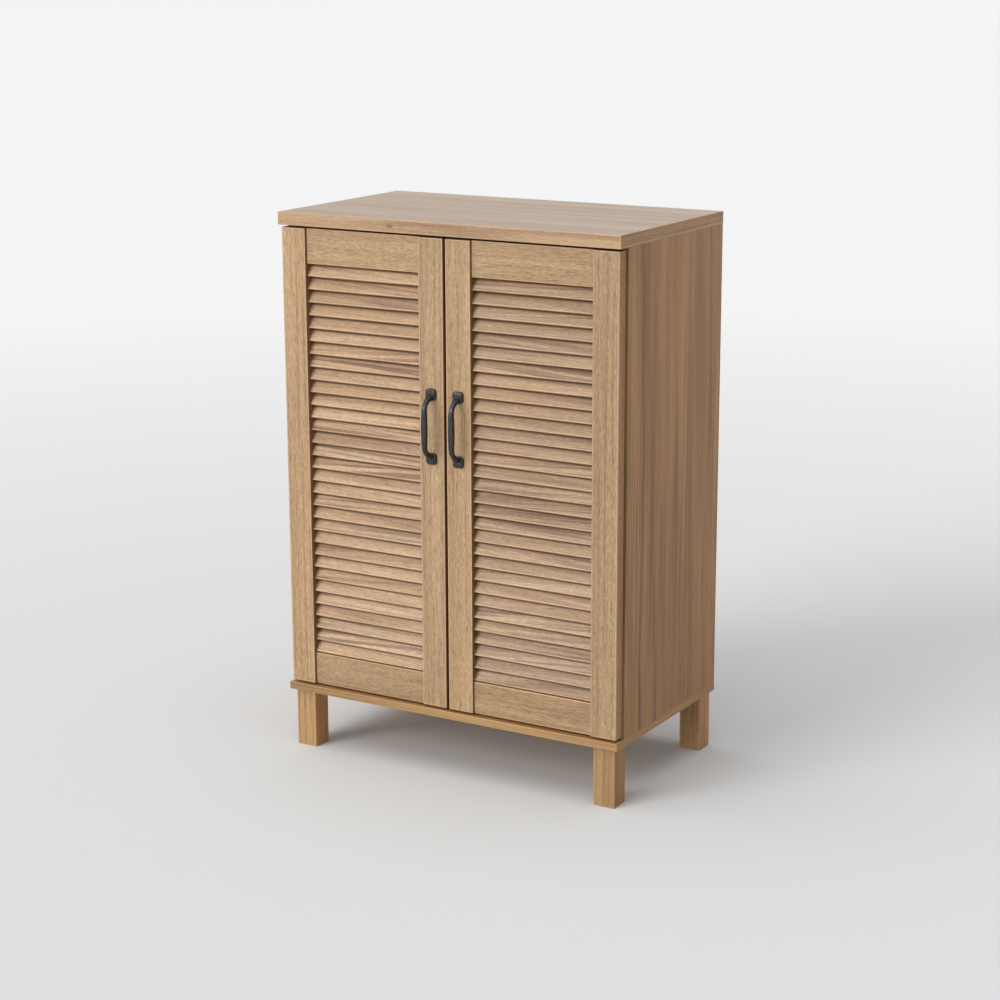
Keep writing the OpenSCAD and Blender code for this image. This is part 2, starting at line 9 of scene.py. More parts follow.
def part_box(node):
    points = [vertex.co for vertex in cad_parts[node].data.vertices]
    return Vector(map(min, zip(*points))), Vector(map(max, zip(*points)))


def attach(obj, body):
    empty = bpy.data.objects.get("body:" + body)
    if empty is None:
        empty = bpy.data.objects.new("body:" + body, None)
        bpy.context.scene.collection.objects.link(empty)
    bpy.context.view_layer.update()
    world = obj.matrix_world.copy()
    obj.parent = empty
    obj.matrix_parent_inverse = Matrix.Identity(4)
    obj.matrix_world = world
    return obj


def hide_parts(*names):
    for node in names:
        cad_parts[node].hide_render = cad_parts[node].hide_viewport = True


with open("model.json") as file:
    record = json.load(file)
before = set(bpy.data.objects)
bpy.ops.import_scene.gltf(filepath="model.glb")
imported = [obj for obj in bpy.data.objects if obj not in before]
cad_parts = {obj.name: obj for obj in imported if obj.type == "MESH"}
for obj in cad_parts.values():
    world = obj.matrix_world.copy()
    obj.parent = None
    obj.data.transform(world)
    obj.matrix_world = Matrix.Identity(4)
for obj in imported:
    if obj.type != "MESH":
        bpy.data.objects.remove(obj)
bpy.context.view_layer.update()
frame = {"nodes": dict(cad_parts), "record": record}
cadNodes = frame["nodes"]
scene = bpy.context.scene
mm = 0.001
print("frame loaded:", len(cadNodes), "CAD nodes")


# The camera looks down a little at the cabinet from its right.
cameraView = {
    "place": (1.8054, -3.0317, 1.2862),
    "turn": 30.714,       # degrees round the cabinet from straight in front
    "downward": 13.894,
    "roll": -0.217,
    "focal": 2291.1,      # focal length for a picture 1000 wide
}

cameraData = bpy.data.cameras.new("productCamera")
camera = bpy.data.objects.new("productCamera", cameraData)
scene.collection.objects.link(camera)
scene.camera = camera
cameraData.sensor_width = 36
cameraData.lens = cameraView["focal"] * 36 / 1000
cameraData.clip_start, cameraData.clip_end = 0.05, 200
camera.location = cameraView["place"]
camera.rotation_euler = (
    Matrix.Rotation(math.radians(cameraView["turn"]), 3, "Z")
    @ Matrix.Rotation(math.radians(90 - cameraView["downward"]), 3, "X")
    @ Matrix.Rotation(math.radians(cameraView["roll"]), 3, "Z")
).to_euler()


# Short ways to add and wire shader nodes
def addNode(tree, kind, x, y, **settings):
    node = tree.nodes.new(kind)
    node.location = (x, y)
    for name, value in settings.items():
        setattr(node, name, value)
    return node


def setInputs(node, **values):
    for name, value in values.items():
        node.inputs[name.replace("_", " ")].default_value = value
    return node


def newGroup(name, inputs, outputs):
    tree = bpy.data.node_groups.new(name, "ShaderNodeTree")
    for label, kind, value in inputs:
        socket = tree.interface.new_socket(name=label, in_out="INPUT", socket_type=kind)
        if value is not None:
            socket.default_value = value
    for label, kind in outputs:
        tree.interface.new_socket(name=label, in_out="OUTPUT", socket_type=kind)
    return tree, addNode(tree, "NodeGroupInput", -1400, 0), addNode(tree, "NodeGroupOutput", 1400, 0)


def mathNode(tree, operation, x, y, a, b=None, clamp=False):
    node = addNode(tree, "ShaderNodeMath", x, y, operation=operation, use_clamp=clamp)
    for index, value in enumerate((a, b)):
        if value is None:
            continue
        if isinstance(value, (int, float)):
            node.inputs[index].default_value = value
        else:
            tree.links.new(value, node.inputs[index])
    return node.outputs[0]


def mixColors(tree, x, y, factor, a, b, blend="MIX"):
    node = addNode(tree, "ShaderNodeMix", x, y, data_type="RGBA", blend_type=blend)
    for index, value in ((0, factor), (6, a), (7, b)):
        if isinstance(value, (int, float, tuple)):
            node.inputs[index].default_value = value
        else:
            tree.links.new(value, node.inputs[index])
    return node.outputs[2]


def stretchedNoise(tree, x, y, position, stretch, detail=2.0, roughness=0.5, distortion=0.0):
    scaled = addNode(tree, "ShaderNodeVectorMath", x, y, operation="MULTIPLY")
    tree.links.new(position, scaled.inputs[0])
    scaled.inputs[1].default_value = stretch
    texture = addNode(tree, "ShaderNodeTexNoise", x + 200, y)
    setInputs(texture, Scale=1.0, Detail=detail, Roughness=roughness, Distortion=distortion)
    tree.links.new(scaled.outputs[0], texture.inputs["Vector"])
    return texture.outputs["Fac"]


def remap(tree, x, y, value, low, high, toLow=0.0, toHigh=1.0):
    node = addNode(tree, "ShaderNodeMapRange", x, y, clamp=True)
    for index, number in ((1, low), (2, high), (3, toLow), (4, toHigh)):
        node.inputs[index].default_value = number
    tree.links.new(value, node.inputs[0])
    return node.outputs[0]


# Effects that several finishes share
def makeWoodGrain():
    # Grain runs along the X of Position. Tone is a number from 0 to 1 for each board.
    tree, start, end = newGroup(
        "woodGrain",
        [("Position", "NodeSocketVector", None), ("Tone", "NodeSocketFloat", 0.5),
         ("Pale", "NodeSocketColor", (0.6, 0.42, 0.25, 1)),
         ("Warm", "NodeSocketColor", (0.45, 0.28, 0.15, 1)),
         ("Line", "NodeSocketColor", (0.2, 0.11, 0.06, 1)),
         ("Band Strength", "NodeSocketFloat", 0.6), ("Line Strength", "NodeSocketFloat", 0.5),
         ("Pore Strength", "NodeSocketFloat", 0.5), ("Fleck Strength", "NodeSocketFloat", 0.5),
         ("Tone Spread", "NodeSocketFloat", 0.2)],
        [("Color", "NodeSocketColor"), ("Height", "NodeSocketFloat"), ("Rough", "NodeSocketFloat")],
    )
    socket = start.outputs
    position = socket["Position"]
    bands = stretchedNoise(tree, -1100, 500, position, (1.1, 26, 26), 3, 0.55, 0.4)
    bands = remap(tree, -700, 500, bands, 0.34, 0.68)
    streaks = stretchedNoise(tree, -1100, 250, position, (3.4, 190, 190), 3, 0.6, 0.25)
    streaks = remap(tree, -700, 250, streaks, 0.42, 0.7)
    fibres = stretchedNoise(tree, -1100, 0, position, (14, 620, 620), 2, 0.6)
    pores = stretchedNoise(tree, -1100, -250, position, (42, 900, 900), 1, 0.5)
    pores = remap(tree, -700, -250, pores, 0.6, 0.72)
    # growth rings, cut lengthwise into long arches
    rings = addNode(tree, "ShaderNodeTexWave", -900, -550, wave_type="BANDS", bands_direction="Y")
    setInputs(rings, Scale=26.0, Distortion=5.5, Detail=2.5, Detail_Scale=0.55, Detail_Roughness=0.6)
    ringSpace = addNode(tree, "ShaderNodeVectorMath", -1100, -550, operation="MULTIPLY")
    tree.links.new(position, ringSpace.inputs[0])
    ringSpace.inputs[1].default_value = (0.09, 1.0, 1.0)
    tree.links.new(ringSpace.outputs[0], rings.inputs["Vector"])
    ringLines = remap(tree, -700, -550, rings.outputs["Fac"], 0.25, 1.0)
    ringLines = mathNode(tree, "MULTIPLY", -500, -550, ringLines, streaks)

    bandMix = mathNode(tree, "MULTIPLY", -450, 480, bands, socket["Band Strength"], True)
    color = mixColors(tree, -200, 450, bandMix, socket["Pale"], socket["Warm"])
    lineAmount = mathNode(tree, "ADD", -300, -300, ringLines,
                          mathNode(tree, "MULTIPLY", -500, -300, streaks, 0.45), True)
    lineAmount = mathNode(tree, "MULTIPLY", -100, -300, lineAmount, socket["Line Strength"], True)
    color = mixColors(tree, 50, 400, lineAmount, color, socket["Line"])
    poreAmount = mathNode(tree, "MULTIPLY", -100, -500, pores, socket["Pore Strength"], True)
    color = mixColors(tree, 250, 350, poreAmount, color, socket["Line"])
    # short dark and pale dashes, a few millimetres long
    flecks = stretchedNoise(tree, -1100, 800, position, (120, 640, 640), 2, 0.7, 0.6)
    flecks = mathNode(tree, "MULTIPLY", -500, 800, remap(tree, -700, 800, flecks, 0.3, 0.7, -0.5, 0.5),
                      socket["Fleck Strength"])
    fibreLight = mathNode(tree, "ADD", 400, 0, flecks,
                          remap(tree, 200, 0, fibres, 0.25, 0.75, 0.93, 1.07))
    toneShift = mathNode(tree, "MULTIPLY", 200, -150,
                         mathNode(tree, "SUBTRACT", 0, -150, socket["Tone"], 0.5), socket["Tone Spread"])
    brightness = mathNode(tree, "MULTIPLY", 600, -50, fibreLight,
                          mathNode(tree, "ADD", 400, -150, toneShift, 1.0))
    scaledColor = addNode(tree, "ShaderNodeVectorMath", 800, 250, operation="SCALE")
    tree.links.new(color, scaledColor.inputs[0])
    tree.links.new(brightness, scaledColor.inputs["Scale"])
    tree.links.new(scaledColor.outputs[0], end.inputs["Color"])

    height = mathNode(tree, "SUBTRACT", 500, -400, mathNode(tree, "ADD", 300, -400, fibres, flecks),
                      poreAmount)
    height = mathNode(tree, "SUBTRACT", 700, -400, height,
                      mathNode(tree, "MULTIPLY", 500, -550, lineAmount, 0.4))
    tree.links.new(height, end.inputs["Height"])
    rough = mathNode(tree, "ADD", 700, -650, remap(tree, 500, -700, bands, 0, 1, -0.03, 0.03),
                     mathNode(tree, "MULTIPLY", 500, -850, poreAmount, 0.12))
    tree.links.new(rough, end.inputs["Rough"])
    return tree


def makeEdgeWearAndHighlight():
    # Wear is 1 on the arrises of a board and fades to 0 a few millimetres in. The pale mark it makes is
    # partly rubbed wear and partly a painted highlight.
    tree, start, end = newGroup(
        "edgeWearAndHighlight",
        [("Wear", "NodeSocketFloat", 0.0), ("Position", "NodeSocketVector", None),
         ("Amount", "NodeSocketFloat", 0.5), ("Patch Size", "NodeSocketFloat", 60.0)],
        [("Mask", "NodeSocketFloat")],
    )
    patches = addNode(tree, "ShaderNodeTexNoise", -900, 0)
    setInputs(patches, Detail=4.0, Roughness=0.65)
    tree.links.new(start.outputs["Position"], patches.inputs["Vector"])
    tree.links.new(start.outputs["Patch Size"], patches.inputs["Scale"])
    rubbedAndLit = remap(tree, -600, 0, patches.outputs["Fac"], 0.35, 0.65, 0.55, 1.0)
    shaped = mathNode(tree, "POWER", -600, 250, start.outputs["Wear"], 2.2)
    mask = mathNode(tree, "MULTIPLY", -300, 100, shaped, rubbedAndLit)
    tree.links.new(mathNode(tree, "MULTIPLY", 0, 100, mask, start.outputs["Amount"], True),
                   end.inputs["Mask"])
    return tree


def makeMetalMottle():
    tree, start, end = newGroup(
        "metalMottle",
        [("Position", "NodeSocketVector", None), ("Size", "NodeSocketFloat", 200.0),
         ("Scratches", "NodeSocketFloat", 0.5)],
        [("Cloud", "NodeSocketFloat"), ("Height", "NodeSocketFloat")],
    )
    cloud = addNode(tree, "ShaderNodeTexNoise", -900, 200)
    setInputs(cloud, Detail=5.0, Roughness=0.6)
    tree.links.new(start.outputs["Position"], cloud.inputs["Vector"])
    tree.links.new(start.outputs["Size"], cloud.inputs["Scale"])
    lines = stretchedNoise(tree, -1100, -100, start.outputs["Position"], (300, 300, 5200), 2, 0.6)
    tree.links.new(remap(tree, -500, 200, cloud.outputs["Fac"], 0.3, 0.7), end.inputs["Cloud"])
    drawn = mathNode(tree, "MULTIPLY", -500, -100, lines, start.outputs["Scratches"])
    tree.links.new(mathNode(tree, "ADD", -200, 0, drawn, cloud.outputs["Fac"]), end.inputs["Height"])
    return tree


streakOrigin = 10            # stored in the middle of a streak, so that 0 means no streak
streakWander = 12 * mm       # how far a streak strays to either side


def makeHeartStreak():
    # From is streakOrigin plus the distance from the middle of the streak.
    tree, start, end = newGroup(
        "heartStreak",
        [("From", "NodeSocketFloat", 0.0), ("Position", "NodeSocketVector", None),
         ("Half Width", "NodeSocketFloat", 0.007), ("Amount", "NodeSocketFloat", 0.5)],
        [("Mask", "NodeSocketFloat")],
    )
    position = start.outputs["Position"]
    wander = remap(tree, -700, 300, stretchedNoise(tree, -1100, 300, position, (3.0, 0, 0), 2, 0.5),
                   0.25, 0.75, -streakOrigin - streakWander, -streakOrigin + streakWander)
    distance = mathNode(tree, "ABSOLUTE", -300, 200,
                        mathNode(tree, "ADD", -500, 200, start.outputs["From"], wander))
    nearness = mathNode(tree, "SUBTRACT", 100, 200, 1.0,
                        mathNode(tree, "DIVIDE", -100, 200, distance, start.outputs["Half Width"]), True)
    broken = remap(tree, -700, -100, stretchedNoise(tree, -1100, -100, position, (4, 260, 260), 2, 0.6),
                   0.35, 0.6, 0.5, 1.0)
    tree.links.new(mathNode(tree, "MULTIPLY", 700, 100,
                            mathNode(tree, "MULTIPLY", 400, 100, nearness, broken),
                            start.outputs["Amount"], True), end.inputs["Mask"])
    return tree


def makeSmallKnot():
    tree, start, end = newGroup(
        "smallKnot",
        [("Position", "NodeSocketVector", None), ("Center", "NodeSocketVector", (0, 0, 0)),
         ("Tightness", "NodeSocketVector", (90, 90, 200))],
        [("Mask", "NodeSocketFloat")],
    )
    offset = addNode(tree, "ShaderNodeVectorMath", -900, 0, operation="SUBTRACT")
    tree.links.new(start.outputs["Position"], offset.inputs[0])
    tree.links.new(start.outputs["Center"], offset.inputs[1])
    scaled = addNode(tree, "ShaderNodeVectorMath", -700, 0, operation="MULTIPLY")
    tree.links.new(offset.outputs[0], scaled.inputs[0])
    tree.links.new(start.outputs["Tightness"], scaled.inputs[1])
    reach = addNode(tree, "ShaderNodeVectorMath", -500, 0, operation="LENGTH")
    tree.links.new(scaled.outputs[0], reach.inputs[0])
    near = remap(tree, -300, 0, reach.outputs["Value"], 0.15, 1.0, 1.0, 0.0)
    tree.links.new(mathNode(tree, "POWER", 0, 0, near, 1.6), end.inputs["Mask"])
    return tree


woodGrain = makeWoodGrain()
edgeWearAndHighlight = makeEdgeWearAndHighlight()
heartStreak = makeHeartStreak()
smallKnot = makeSmallKnot()
metalMottle = makeMetalMottle()
print("shared effects ready")


# Wood finishes: colours are linear, strengths run from 0 to 1, sizes are in metres.
# The narrow faces and the faces to the left and right get tints of their own: painted light and shade,
# standing in for how those faces are lit.
woods = {
    "top_wood": {
        "pale": (0.44, 0.32, 0.215), "warm": (0.33, 0.21, 0.125), "line": (0.15, 0.075, 0.04),
        "bands": 0.9, "lines": 0.7, "pores": 0.35, "flecks": 0.34, "tones": 0.1, "wear": 0.25,
        "rough": 0.4, "coat": 0.3, "paintedNarrowFaceLight": (1.13, 1.06, 0.93), "paintedSideLight": (0.9, 0.74, 0.54),
        "knotFromLeft": 207 * mm, "knotHeight": 9.5 * mm, "knotDepth": 0.85,
    },
    "case_wood": {
        "pale": (0.475, 0.268, 0.108), "warm": (0.275, 0.142, 0.05), "line": (0.13, 0.06, 0.026),
        "bands": 1.0, "lines": 0.55, "pores": 0.35, "flecks": 0.2, "tones": 0.3, "wear": 0.3,
        "rough": 0.48, "coat": 0.05, "paintedNarrowFaceLight": (0.93, 1.0, 1.06), "paintedSideLight": (1.05, 0.93, 0.8),
        "streakHalfWidth": 8 * mm, "streakDepth": 0.85,
    },
    "inner_wood": {
        "pale": (0.45, 0.32, 0.19), "warm": (0.36, 0.235, 0.13), "line": (0.2, 0.11, 0.05),
        "bands": 0.6, "lines": 0.4, "pores": 0.3, "flecks": 0.2, "tones": 0.1, "wear": 0.3,
        "rough": 0.5, "coat": 0.04,
    },
    "leg_wood": {
        "pale": (0.46, 0.28, 0.125), "warm": (0.32, 0.18, 0.075), "line": (0.15, 0.07, 0.03),
        "bands": 0.8, "lines": 0.55, "pores": 0.4, "flecks": 0.24, "tones": 0.3, "wear": 0.4,
        "rough": 0.48, "coat": 0.05, "paintedSideLight": (1.12, 0.95, 0.8),
    },
    "frame_wood": {
        "pale": (0.435, 0.292, 0.162), "warm": (0.31, 0.187, 0.09), "line": (0.16, 0.075, 0.03),
        "bands": 0.75, "lines": 0.42, "pores": 0.6, "flecks": 0.6, "tones": 0.5, "wear": 0.75,
        "rough": 0.48, "coat": 0.05, "paintedNarrowFaceLight": (1.06, 0.9, 0.78), "paintedSideLight": (0.88, 0.82, 0.68),
        "paintedShade": 1.0,
    },
    "slat_wood": {
        "pale": (0.45, 0.305, 0.18), "warm": (0.315, 0.185, 0.095), "line": (0.135, 0.06, 0.025),
        "bands": 0.9, "lines": 0.85, "pores": 0.45, "flecks": 0.5, "tones": 0.5, "wear": 0.8,
        "rough": 0.46, "coat": 0.06, "paintedShade": 0.75,
    },
    "dowel_wood": {
        "pale": (0.62, 0.46, 0.28), "warm": (0.54, 0.38, 0.22), "line": (0.36, 0.23, 0.13),
        "bands": 0.5, "lines": 0.3, "pores": 0.4, "flecks": 0.3, "tones": 0.1, "wear": 0.0,
        "rough": 0.7, "coat": 0.0,
    },
}


bandCoat = 0.03              # the edge bands are hardly lacquered
grainBump = {"strength": 0.22, "depth": 0.35 * mm}


def makeWood(slotName, ownPosition=True):
    look = woods[slotName]
    material = bpy.data.materials.new(slotName + ("" if ownPosition else "Plain"))
    material.use_nodes = True
    tree = material.node_tree
    shader = tree.nodes["Principled BSDF"]
    shader.location = (600, 0)
    if ownPosition:
        where = addNode(tree, "ShaderNodeAttribute", -900, 0, attribute_name="grainPosition")
        position = where.outputs["Vector"]
    else:
        where = addNode(tree, "ShaderNodeTexCoord", -900, 0)
        position = where.outputs["Object"]
    grain = addNode(tree, "ShaderNodeGroup", -500, 0, node_tree=woodGrain)
    tree.links.new(position, grain.inputs["Position"])
    if ownPosition:
        tone = addNode(tree, "ShaderNodeAttribute", -900, -250, attribute_name="boardTone")
        tree.links.new(tone.outputs["Fac"], grain.inputs["Tone"])
    setInputs(grain, Pale=(*look["pale"], 1), Warm=(*look["warm"], 1), Line=(*look["line"], 1),
              Band_Strength=look["bands"], Line_Strength=look["lines"],
              Pore_Strength=look["pores"], Fleck_Strength=look["flecks"], Tone_Spread=look["tones"])
    color = grain.outputs["Color"]
    if ownPosition:
        # Pale arrises: partly rubbed wear, partly a painted highlight
        wearAndHighlightAt = addNode(tree, "ShaderNodeAttribute", -900, -500, attribute_name="edgeRubAndHighlight")
        wear = addNode(tree, "ShaderNodeGroup", -500, -400, node_tree=edgeWearAndHighlight)
        tree.links.new(wearAndHighlightAt.outputs["Fac"], wear.inputs["Wear"])
        tree.links.new(position, wear.inputs["Position"])
        setInputs(wear, Amount=look["wear"], Patch_Size=45.0)
        rubbedAndLit = tuple(min(1.0, c * 1.3 + 0.05) for c in look["pale"])
        color = mixColors(tree, -150, 100, wear.outputs["Mask"], color, (*rubbedAndLit, 1))
        # Painted light and shade: the narrow faces and the faces to the left and right take their own
        # tints, standing in for how those faces are lit
        for row, (layer, tint) in enumerate((("narrowFace", "paintedNarrowFaceLight"), ("flank", "paintedSideLight"))):
            if tint in look:
                onFace = addNode(tree, "ShaderNodeAttribute", -900, -1000 - 250 * row,
                                 attribute_name=layer)
                color = mixColors(tree, 50, 250 + 200 * row, onFace.outputs["Fac"], color,
                                  (*look[tint], 1), "MULTIPLY")
                if layer == "narrowFace":
                    coat = remap(tree, 300, -600, onFace.outputs["Fac"], 0, 1, look["coat"], bandCoat)
                    tree.links.new(coat, shader.inputs["Coat Weight"])
        if "streakDepth" in look:
            streakAt = addNode(tree, "ShaderNodeAttribute", -900, -1500, attribute_name="streakFrom")
            streak = addNode(tree, "ShaderNodeGroup", -500, -700, node_tree=heartStreak)
            tree.links.new(streakAt.outputs["Fac"], streak.inputs["From"])
            tree.links.new(position, streak.inputs["Position"])
            setInputs(streak, Half_Width=look["streakHalfWidth"], Amount=look["streakDepth"])
            color = mixColors(tree, 250, 250, streak.outputs["Mask"], color, (*look["line"], 1))
        if "knotDepth" in look:
            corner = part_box("top_board")[0]
            place = addNode(tree, "ShaderNodeTexCoord", -900, -1700)
            knot = addNode(tree, "ShaderNodeGroup", -500, -1000, node_tree=smallKnot)
            tree.links.new(place.outputs["Object"], knot.inputs["Position"])
            knot.inputs["Center"].default_value = (corner.x + look["knotFromLeft"], corner.y,
                                                   corner.z + look["knotHeight"])
            depth = mathNode(tree, "MULTIPLY", -150, -1000, knot.outputs["Mask"], look["knotDepth"])
            color = mixColors(tree, 250, 450, depth, color, (*look["line"], 1))
        # Painted shade: gaps, the stiles' sides at the slats' ends, the doors' upper ends and each
        # slat's face under the next slat are darkened towards the line colour
        if "paintedShade" in look:
            paintedShadeWhere = addNode(tree, "ShaderNodeAttribute", -900, -750, attribute_name="paintedShade")
            depth = mathNode(tree, "MULTIPLY", -150, -150, paintedShadeWhere.outputs["Fac"], look["paintedShade"], True)
            color = mixColors(tree, 50, 100, depth, color, (*look["line"], 1))
    tree.links.new(color, shader.inputs["Base Color"])
    tree.links.new(mathNode(tree, "ADD", 100, -150, grain.outputs["Rough"], look["rough"]),
                   shader.inputs["Roughness"])
    bump = addNode(tree, "ShaderNodeBump", 200, -350)
    setInputs(bump, Strength=grainBump["strength"], Distance=grainBump["depth"])
    tree.links.new(grain.outputs["Height"], bump.inputs["Height"])
    tree.links.new(bump.outputs[0], shader.inputs["Normal"])
    setInputs(shader, Coat_Weight=look["coat"], Coat_Roughness=0.3, Specular_IOR_Level=0.42)
    return material


woodMaterials = {name: makeWood(name) for name in woods}


# Metal and plastic finishes
metals = {
    "handle_iron": {"color": (0.012, 0.013, 0.016), "worn": (0.045, 0.046, 0.052), "metallic": 0.4,
                    "rough": 0.36, "spread": 0.16, "cloud": 260, "scratch": 0.2,
                    "bump": 0.6, "depth": 0.5 * mm},
    "hinge_steel": {"color": (0.60, 0.60, 0.61), "worn": (0.70, 0.70, 0.71), "metallic": 1.0,
                    "rough": 0.26, "spread": 0.12, "cloud": 150, "scratch": 0.7,
                    "bump": 0.15, "depth": 0.1 * mm},
    "screw_steel": {"color": (0.52, 0.52, 0.50), "worn": (0.64, 0.63, 0.60), "metallic": 1.0,
                    "rough": 0.32, "spread": 0.14, "cloud": 260, "scratch": 0.5,
                    "bump": 0.15, "depth": 0.1 * mm},
    "cam_zinc": {"color": (0.50, 0.50, 0.49), "worn": (0.62, 0.62, 0.61), "metallic": 0.9,
                 "rough": 0.45, "spread": 0.12, "cloud": 320, "scratch": 0.2,
                 "bump": 0.3, "depth": 0.2 * mm},
    "nut_brass": {"color": (0.62, 0.45, 0.20), "worn": (0.74, 0.58, 0.30), "metallic": 1.0,
                  "rough": 0.3, "spread": 0.12, "cloud": 260, "scratch": 0.5,
                  "bump": 0.15, "depth": 0.1 * mm},
    "bumper_plastic": {"color": (0.78, 0.78, 0.74), "worn": (0.70, 0.69, 0.65), "metallic": 0.0,
                       "rough": 0.5, "spread": 0.1, "cloud": 300, "scratch": 0.0,
                       "bump": 0.1, "depth": 0.1 * mm},
}


def makeMetal(slotName):
    look = metals[slotName]
    material = bpy.data.materials.new(slotName)
    material.use_nodes = True
    tree = material.node_tree
    shader = tree.nodes["Principled BSDF"]
    shader.location = (600, 0)
    where = addNode(tree, "ShaderNodeTexCoord", -900, 0)
    mottle = addNode(tree, "ShaderNodeGroup", -600, 0, node_tree=metalMottle)
    tree.links.new(where.outputs["Object"], mottle.inputs["Position"])
    setInputs(mottle, Size=float(look["cloud"]), Scratches=look["scratch"])
    color = mixColors(tree, -200, 150, mottle.outputs["Cloud"], (*look["color"], 1), (*look["worn"], 1))
    tree.links.new(color, shader.inputs["Base Color"])
    half = look["spread"] / 2
    tree.links.new(remap(tree, -200, -100, mottle.outputs["Cloud"], 0, 1,
                         look["rough"] + half, look["rough"] - half), shader.inputs["Roughness"])
    bump = addNode(tree, "ShaderNodeBump", 200, -350)
    setInputs(bump, Strength=look["bump"], Distance=look["depth"])
    tree.links.new(mottle.outputs["Height"], bump.inputs["Height"])
    tree.links.new(bump.outputs[0], shader.inputs["Normal"])
    setInputs(shader, Metallic=look["metallic"])
    return material


metalMaterials = {name: makeMetal(name) for name in metals}
print("finishes ready:", len(woodMaterials) + len(metalMaterials))


# Board making
def addPiece(name, mesh, material, body, replaced=()):
    piece = bpy.data.objects.new(name, mesh)
    scene.collection.objects.link(piece)
    mesh.materials.clear()
    mesh.materials.append(material)
    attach(piece, body)
    if replaced:
        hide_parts(*replaced)
    return piece


def roundedBlock(low, high, rounding, rubAndHighlightWidth=3 * mm):
    # A block with rounded arrises and a narrow border inside each face, where the pale arris mark
    # (partly wear, partly a painted highlight) fades out
    block = bmesh.new()
    bmesh.ops.create_cube(block, size=1)
    size = high - low
    for vert in block.verts:
        vert.co = Vector([low[i] + (vert.co[i] + 0.5) * size[i] for i in range(3)])
    bmesh.ops.bevel(block, geom=block.edges[:], offset=rounding, segments=3, profile=0.5,
                    affect="EDGES")
    flats = [f for f in block.faces if f.calc_area() > 0.2 * min(
        size[0] * size[1], size[1] * size[2], size[0] * size[2])]
    flats = sorted(flats, key=lambda f: -f.calc_area())[:6]
    rubAndHighlight = block.verts.layers.float.new("edgeRubAndHighlight")
    for vert in block.verts:
        vert[rubAndHighlight] = 1.0
    old = set(block.verts)
    border = min(rubAndHighlightWidth, 0.2 * min(size))
    bmesh.ops.inset_individual(block, faces=flats, thickness=border)
    for vert in block.verts:
        if vert not in old:
            vert[rubAndHighlight] = 0.0
    return block


def storeLayer(mesh, name, kind, values, domain="POINT"):
    layer = mesh.attributes.new(name, kind, domain)
    layer.data.foreach_set("vector" if kind == "FLOAT_VECTOR" else "value", values)


def setGrain(mesh, along, seed, low, high, tone=None):
    # Stores where each corner lies in its board, with the grain along X. The ends are banded:
    # their grain runs along the longer side. The narrow-face mask is 1 on all but the two broad faces,
    # and flank is 1 on the faces to the left and right; the tints laid on these masks are painted light
    # and shade.
    dice = random.Random(seed)
    shift = [dice.uniform(-40, 40) for _ in range(3)]
    center, size = (low + high) / 2, high - low
    faceOrder = {"x": (0, 1, 2), "y": (1, 0, 2), "z": (2, 0, 1)}[along]
    endAxis = faceOrder[0]
    endOrder = (*sorted(faceOrder[1:], key=lambda i: -size[i]), endAxis)
    thinAxis = min(range(3), key=lambda i: size[i])
    toneValue = dice.random() if tone is None else tone
    places, bands, flanks = [], [], []
    for face in mesh.polygons:
        facing = max(range(3), key=lambda i: abs(face.normal[i]))
        order = endOrder if facing == endAxis else faceOrder
        bands.append(float(facing != thinAxis))
        flanks.append(float(facing == 0))
        for index in face.vertices:
            local = mesh.vertices[index].co - center
            places += [local[i] + shift[k] for k, i in enumerate(order)]
    storeLayer(mesh, "grainPosition", "FLOAT_VECTOR", places, "CORNER")
    storeLayer(mesh, "narrowFace", "FLOAT", bands, "FACE")
    storeLayer(mesh, "flank", "FLOAT", flanks, "FACE")
    storeLayer(mesh, "boardTone", "FLOAT", [toneValue] * len(mesh.vertices))


def cutHoles(mesh, holes):
    # holes: (axis, center, radius, length), each a round hole
    cutter = bmesh.new()
    for axis, center, radius, length in holes:
        turn = {"x": Euler((0, math.pi / 2, 0)), "y": Euler((math.pi / 2, 0, 0)),
                "z": Euler((0, 0, 0))}[axis]
        place = Matrix.Translation(Vector(center)) @ turn.to_matrix().to_4x4()
        bmesh.ops.create_cone(cutter, cap_ends=True, segments=40, radius1=radius, radius2=radius,
                              depth=length, matrix=place)
    cutterMesh = bpy.data.meshes.new("cutter")
    cutter.to_mesh(cutterMesh)
    cutter.free()
    board = bpy.data.objects.new("board", mesh)
    tool = bpy.data.objects.new("cutter", cutterMesh)
    for item in (board, tool):
        scene.collection.objects.link(item)
    carve = board.modifiers.new("carve", "BOOLEAN")
    carve.operation, carve.solver, carve.object = "DIFFERENCE", "EXACT", tool
    bpy.context.view_layer.update()
    carved = bpy.data.meshes.new_from_object(
        board.evaluated_get(bpy.context.evaluated_depsgraph_get()))
    for item in (board, tool):
        bpy.data.objects.remove(item)
    return carved


def finishShading(piece, angle=34):
    for face in piece.data.polygons:
        face.use_smooth = True
    piece.data.set_sharp_from_angle(angle=math.radians(angle))
    weights = piece.modifiers.new("evenNormals", "WEIGHTED_NORMAL")
    weights.keep_sharp, weights.weight = True, 100


def bodyOf(nodeName):
    for body, names in frame["record"]["behaviour"]["bodies"].items():
        if nodeName in names:
            return body


def slotOf(nodeName):
    for part in frame["record"]["subparts"]:
        if part["node"] == nodeName:
            return part["material_slot"]


